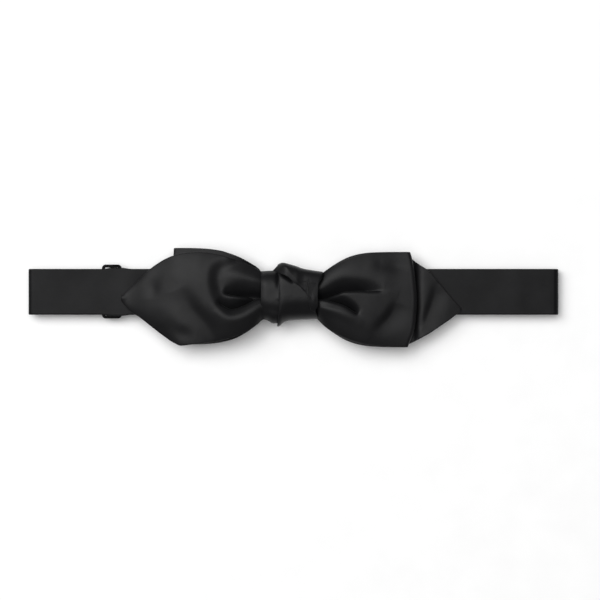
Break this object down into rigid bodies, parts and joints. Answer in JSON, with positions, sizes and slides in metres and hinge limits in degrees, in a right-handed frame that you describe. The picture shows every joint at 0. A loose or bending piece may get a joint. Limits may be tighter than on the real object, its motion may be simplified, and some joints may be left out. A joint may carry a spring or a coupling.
{
  "type": "bow tie",
  "caption": "Pre-tied black satin bow tie with pointed ends on a folded adjustable neckband, closed behind by a hook and an eye.",
  "frame": {"origin": "centre of the footprint of the tie as it lies face up and folded flat, on the surface that it lies on", "axes": "+X along the neckband, to the right as the bow is seen from the front, +Y across it towards the bow's upper edge, +Z out of the bow's face"},
  "size_m": [0.199, 0.0374, 0.0153],
  "materials": {
    "satin": "black satin weave, soft sheen",
    "interlining": "thin brushed interlining",
    "thread": "black sewing thread",
    "hardware": "black lacquer, satin"
  },
  "bodies": {
    "bow": {"left_front_blade": "satin", "left_front_blade_interlining": "interlining", "left_rear_loop": "satin", "left_rear_loop_interlining": "interlining", "right_front_loop": "satin", "right_front_loop_interlining": "interlining", "right_rear_blade": "satin", "right_rear_blade_interlining": "interlining", "knot_core": "satin", "knot_inner_turn": "satin", "knot_outer_turn": "satin", "knot_stitches": "thread", "band_front": "satin"},
    "left_strap": {"left_band_fold": "satin", "left_band_rear": "satin"},
    "right_strap": {"right_band_fold": "satin", "right_band_rear": "satin", "eye_turn": "satin", "eye_stitches": "thread"},
    "slide": {"slide_frame": "hardware", "slide_wrap": "satin", "slide_stitches": "thread"},
    "hook_end": {"loop_upper_layer": "satin", "loop_lower_layer": "satin", "hook_turn": "satin"},
    "hook": {"hook": "hardware"},
    "eye": {"eye": "hardware"}
  },
  "joints": [
    {"name": "left_fold", "type": "hinge", "parent": "bow", "child": "left_strap", "pos_m": [-0.0978, 0.0022, 0.00445], "axis": [0, 1, 0], "range_deg": [0, 180], "deforming": ["left_band_fold"]},
    {"name": "right_fold", "type": "hinge", "parent": "bow", "child": "right_strap", "pos_m": [0.09738, 0.0022, 0.00402], "axis": [0, -1, 0], "range_deg": [0, 180], "deforming": ["right_band_fold"]},
    {"name": "hook_travel", "type": "slide", "parent": "left_strap", "child": "hook_end", "axis": [1, 0, 0], "range_m": [-0.012, 0.024], "deforming": ["loop_upper_layer"]},
    {"name": "slide_travel", "type": "slide", "parent": "hook_end", "child": "slide", "axis": [1, 0, 0], "range_m": [-0.012, 0.024], "deforming": ["loop_lower_layer"]},
    {"name": "hook_pivot", "type": "hinge", "parent": "hook_end", "child": "hook", "pos_m": [-0.027, 0.0022, 0.00178], "axis": [0, 1, 0], "range_deg": [0, 110]},
    {"name": "eye_pivot", "type": "hinge", "parent": "right_strap", "child": "eye", "pos_m": [0.025, 0.0022, 0.00135], "axis": [0, -1, 0], "range_deg": [0, 110]}
  ],
  "couplings": [
    {"joint": "hook_travel", "follows": "slide_travel", "ratio": 1}
  ]
}
